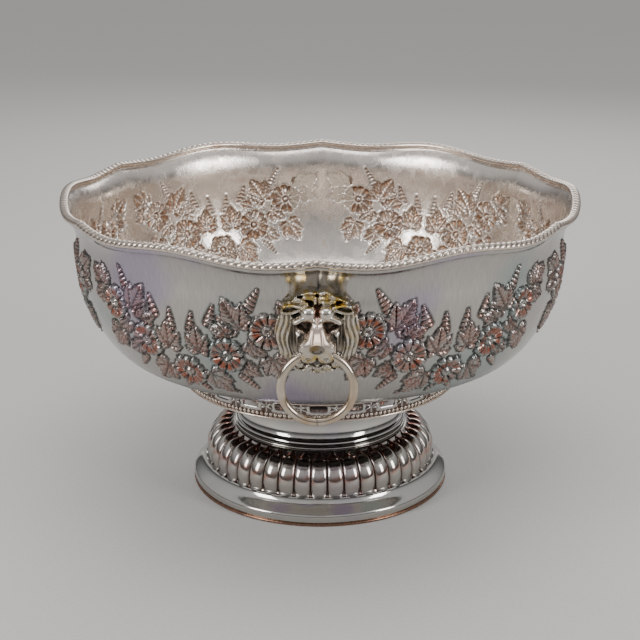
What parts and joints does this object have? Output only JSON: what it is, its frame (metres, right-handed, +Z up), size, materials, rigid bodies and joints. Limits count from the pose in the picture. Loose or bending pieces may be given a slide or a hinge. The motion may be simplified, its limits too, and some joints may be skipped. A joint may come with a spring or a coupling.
{
  "type": "punch bowl",
  "caption": "Footed silver-plated punch bowl with a scalloped gadroon rim, chased garlands, pierced gallery, lobed foot and lion masks that carry swinging ring handles.",
  "frame": {"origin": "on the table under the centre of the foot", "axes": "+Z up along the bowl's axis; -Y is the pictured side with the front lion mask; +X to its right"},
  "size_m": [0.378, 0.4096, 0.2278],
  "materials": {
    "silver_plate": "polished silver plate on copper alloy",
    "border_plate": "polished silver plate, warm where worn",
    "worn_plate": "silver plate with copper showing through",
    "copper_edge": "worn through to the copper",
    "gilt_mask": "cast, plated, with brass showing on the high points",
    "ring_plate": "polished plated wire",
    "bare_brass": "bare turned brass"
  },
  "bodies": {
    "bowl": {"bowl_shell": "silver_plate", "rim_border": "border_plate", "gallery_band": "worn_plate", "gallery_bead_wire": "border_plate", "foot_collar": "silver_plate", "knop_ring": "silver_plate", "foot_dome": "worn_plate", "base_ring": "silver_plate", "base_wire": "copper_edge", "lion_mask_front": "gilt_mask", "lion_mask_back": "gilt_mask", "foot_stud": "bare_brass", "foot_washer": "bare_brass", "foot_nut": "bare_brass"},
    "ring_front": {"ring_handle_front": "ring_plate"},
    "ring_back": {"ring_handle_back": "ring_plate"}
  },
  "joints": [
    {"name": "ring_front_swing", "type": "hinge", "parent": "bowl", "child": "ring_front", "pos_m": [0, -0.1982, 0.1695], "axis": [-1, 0, 0], "range_deg": [-38, 165]},
    {"name": "ring_back_swing", "type": "hinge", "parent": "bowl", "child": "ring_back", "pos_m": [0, 0.1982, 0.1695], "axis": [1, 0, 0], "range_deg": [-38, 165]}
  ]
}
